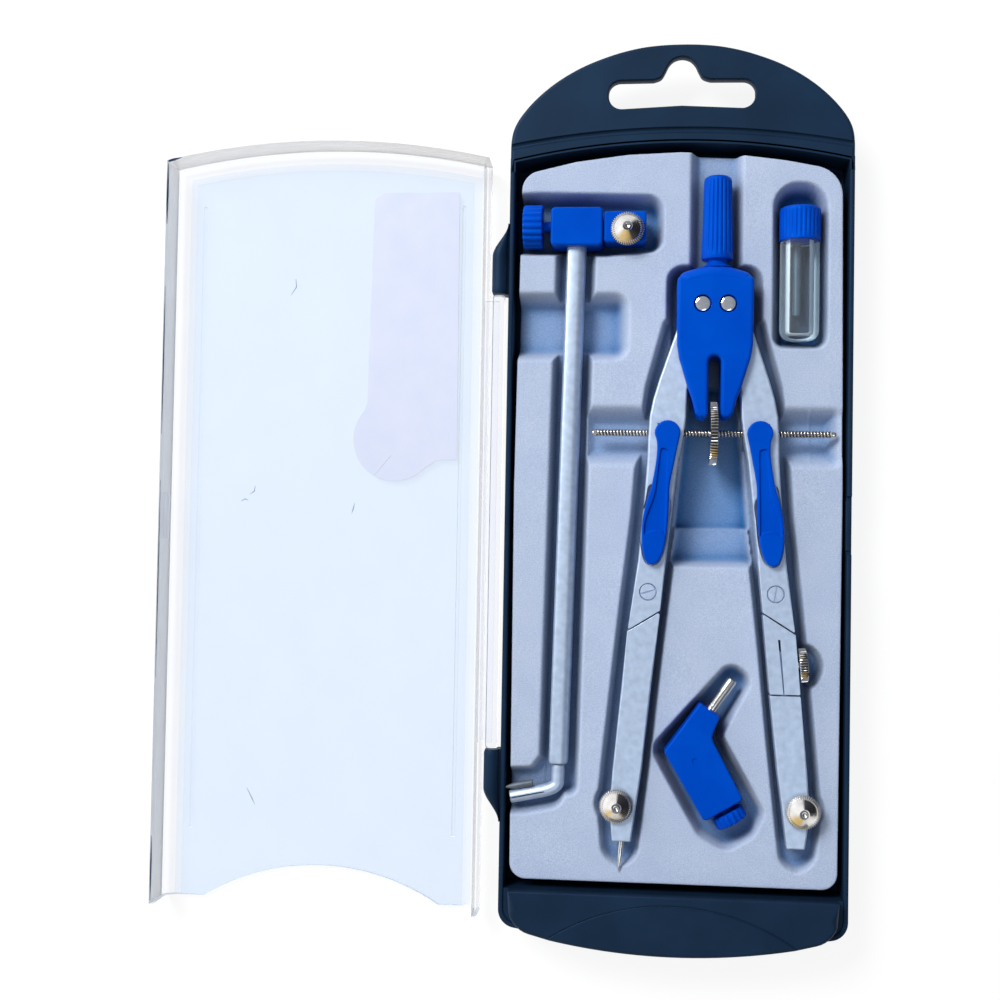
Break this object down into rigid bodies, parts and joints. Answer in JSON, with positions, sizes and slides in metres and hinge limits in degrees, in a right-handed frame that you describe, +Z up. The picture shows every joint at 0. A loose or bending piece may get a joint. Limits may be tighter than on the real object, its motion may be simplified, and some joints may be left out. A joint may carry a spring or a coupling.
{
  "type": "drafting instrument case",
  "caption": "Slim black tray with a hang tab and a clear hinged lid; a formed grey insert holds a bow compass, an extension bar, an adapter and a lead tube.",
  "frame": {"origin": "centre of the bounding box of the open case, on the table", "axes": "+X from the open lid across the tray, +Y along the tray towards its hang tab, +Z up from the table"},
  "size_m": [0.1736, 0.2246, 0.0198],
  "materials": {
    "black_plastic": "satin moulded",
    "grey_flock": "flocked",
    "clear_plastic": "clear, polished",
    "pale_paper": "matt",
    "blue_plastic": "satin",
    "satin_silver": "satin",
    "bright_steel": "polished",
    "graphite": "matt",
    "dark_steel": "dark"
  },
  "bodies": {
    "tray": {"base_shell": "black_plastic", "flocked_insert": "grey_flock"},
    "lid": {"lid": "clear_plastic", "lid_leaflet": "pale_paper"},
    "compass": {"head_front_cover": "blue_plastic", "head_rear_cover": "blue_plastic", "compass_handle": "blue_plastic", "left_head_screw": "bright_steel", "right_head_screw": "bright_steel"},
    "adjuster": {"adjusting_wheel": "bright_steel", "threaded_spindle": "bright_steel"},
    "left_leg": {"left_upper_leg": "satin_silver", "left_release_lever_pin": "bright_steel", "left_knee_screw": "satin_silver", "left_lever_spring": "bright_steel"},
    "right_leg": {"right_upper_leg": "satin_silver", "right_release_lever_pin": "bright_steel", "right_knee_screw": "satin_silver", "right_lever_spring": "bright_steel"},
    "left_lever": {"left_release_lever": "blue_plastic", "left_half_nut": "bright_steel"},
    "right_lever": {"right_release_lever": "blue_plastic", "right_half_nut": "bright_steel"},
    "left_shin": {"left_lower_leg": "satin_silver", "needle_clamp_stud": "bright_steel"},
    "needle": {"needle": "bright_steel"},
    "needle_nut": {"needle_clamp_nut": "bright_steel"},
    "right_shin": {"right_lower_leg": "satin_silver"},
    "side_screw": {"side_clamp_screw": "bright_steel"},
    "lead_arm": {"lead_holder": "satin_silver", "lead_clamp_stud": "bright_steel"},
    "lead_nut": {"lead_clamp_nut": "bright_steel"},
    "bar": {"extension_bar": "satin_silver", "bar_block": "blue_plastic", "bar_holder": "blue_plastic", "bar_clamp_stud": "bright_steel", "bar_split_spigot": "satin_silver", "bar_steel_point": "dark_steel"},
    "bar_knob": {"bar_knob": "blue_plastic"},
    "bar_nut": {"bar_clamp_nut": "bright_steel"},
    "adapter": {"adapter_body": "blue_plastic", "adapter_pin": "bright_steel"},
    "adapter_knob": {"adapter_knob": "blue_plastic"},
    "tube": {"lead_tube": "clear_plastic"},
    "cap": {"tube_cap": "blue_plastic"},
    "spare_lead": {"spare_lead": "graphite"}
  },
  "joints": [
    {"name": "lid_hinge", "type": "hinge", "parent": "tray", "child": "lid", "pos_m": [-0.00045, -0.0083, 0.0125], "axis": [0, -1, 0], "range_deg": [-180, 0]},
    {"name": "compass_lift", "type": "slide", "parent": "tray", "child": "compass", "axis": [0, 0, 1], "range_m": [0, 0.04]},
    {"name": "wheel_spin", "type": "hinge", "parent": "compass", "child": "adjuster", "pos_m": [0.053, 0.01505, 0.012], "axis": [1, 0, 0], "range_deg": [-45, 135]},
    {"name": "left_leg_pivot", "type": "hinge", "parent": "compass", "child": "left_leg", "pos_m": [0.04992, 0.0465, 0.012], "axis": [0, 0, 1], "range_deg": [-0.56, 0.2]},
    {"name": "right_leg_pivot", "type": "hinge", "parent": "compass", "child": "right_leg", "pos_m": [0.05608, 0.0465, 0.012], "axis": [0, 0, 1], "range_deg": [-0.2, 0.56]},
    {"name": "left_lever_rock", "type": "hinge", "parent": "left_leg", "child": "left_lever", "pos_m": [0.04025, 0.0025, 0.01355], "axis": [0.9859, -0.1676, 0], "range_deg": [0, 4.6], "stiffness_Nm_per_rad": 0.1, "springref_deg": -1.15, "deforming": ["left_lever_spring"]},
    {"name": "right_lever_rock", "type": "hinge", "parent": "right_leg", "child": "right_lever", "pos_m": [0.06575, 0.0025, 0.01355], "axis": [0.9859, 0.1676, 0], "range_deg": [0, 4.6], "stiffness_Nm_per_rad": 0.1, "springref_deg": -1.15, "deforming": ["right_lever_spring"]},
    {"name": "left_knee", "type": "hinge", "parent": "left_leg", "child": "left_shin", "pos_m": [0.03755, -0.0241, 0.012], "axis": [0, 0, 1], "range_deg": [-0.5, 0.1]},
    {"name": "right_knee", "type": "hinge", "parent": "right_leg", "child": "right_shin", "pos_m": [0.06845, -0.0241, 0.012], "axis": [0, 0, 1], "range_deg": [-0.1, 0.5]},
    {"name": "needle_slide", "type": "slide", "parent": "left_shin", "child": "needle", "axis": [-0.0924, -0.9957, 0], "range_m": [-0.003, 0]},
    {"name": "needle_nut_spin", "type": "hinge", "parent": "left_shin", "child": "needle_nut", "pos_m": [0.0306, -0.0763, 0.0149], "axis": [0, 0, 1], "continuous": true},
    {"name": "side_screw_spin", "type": "hinge", "parent": "right_shin", "child": "side_screw", "pos_m": [0.07401, -0.0414, 0.012], "axis": [0.9957, 0.0924, 0], "continuous": true},
    {"name": "lead_arm_pull", "type": "slide", "parent": "right_shin", "child": "lead_arm", "axis": [0.0924, -0.9957, 0], "range_m": [0, 0.004]},
    {"name": "lead_nut_spin", "type": "hinge", "parent": "lead_arm", "child": "lead_nut", "pos_m": [0.0754, -0.0763, 0.0149], "axis": [0, 0, 1], "continuous": true},
    {"name": "bar_lift", "type": "slide", "parent": "tray", "child": "bar", "axis": [0, 0, 1], "range_m": [0, 0.04]},
    {"name": "bar_knob_spin", "type": "hinge", "parent": "bar", "child": "bar_knob", "pos_m": [0.0053, 0.06675, 0.0105], "axis": [1, 0, 0], "continuous": true},
    {"name": "bar_nut_spin", "type": "hinge", "parent": "bar", "child": "bar_nut", "pos_m": [0.0313, 0.0653, 0.0146], "axis": [0, 0, 1], "continuous": true},
    {"name": "adapter_lift", "type": "slide", "parent": "tray", "child": "adapter", "axis": [0, 0, 1], "range_m": [0, 0.04]},
    {"name": "adapter_knob_spin", "type": "hinge", "parent": "adapter", "child": "adapter_knob", "pos_m": [0.05745, -0.0774, 0.0108], "axis": [0.4969, -0.8678, 0], "continuous": true},
    {"name": "tube_lift", "type": "slide", "parent": "tray", "child": "tube", "axis": [0, 0, 1], "range_m": [0, 0.04]},
    {"name": "cap_pull", "type": "slide", "parent": "tube", "child": "cap", "axis": [0, 1, 0], "range_m": [0, 0.002]},
    {"name": "spare_lead_slide", "type": "slide", "parent": "tube", "child": "spare_lead", "axis": [0, 1, 0], "range_m": [-0.004, 0.0014]}
  ],
  "couplings": [
    {"joint": "left_leg_pivot", "follows": "wheel_spin", "ratio": -0.00405},
    {"joint": "right_leg_pivot", "follows": "wheel_spin", "ratio": 0.00405}
  ]
}
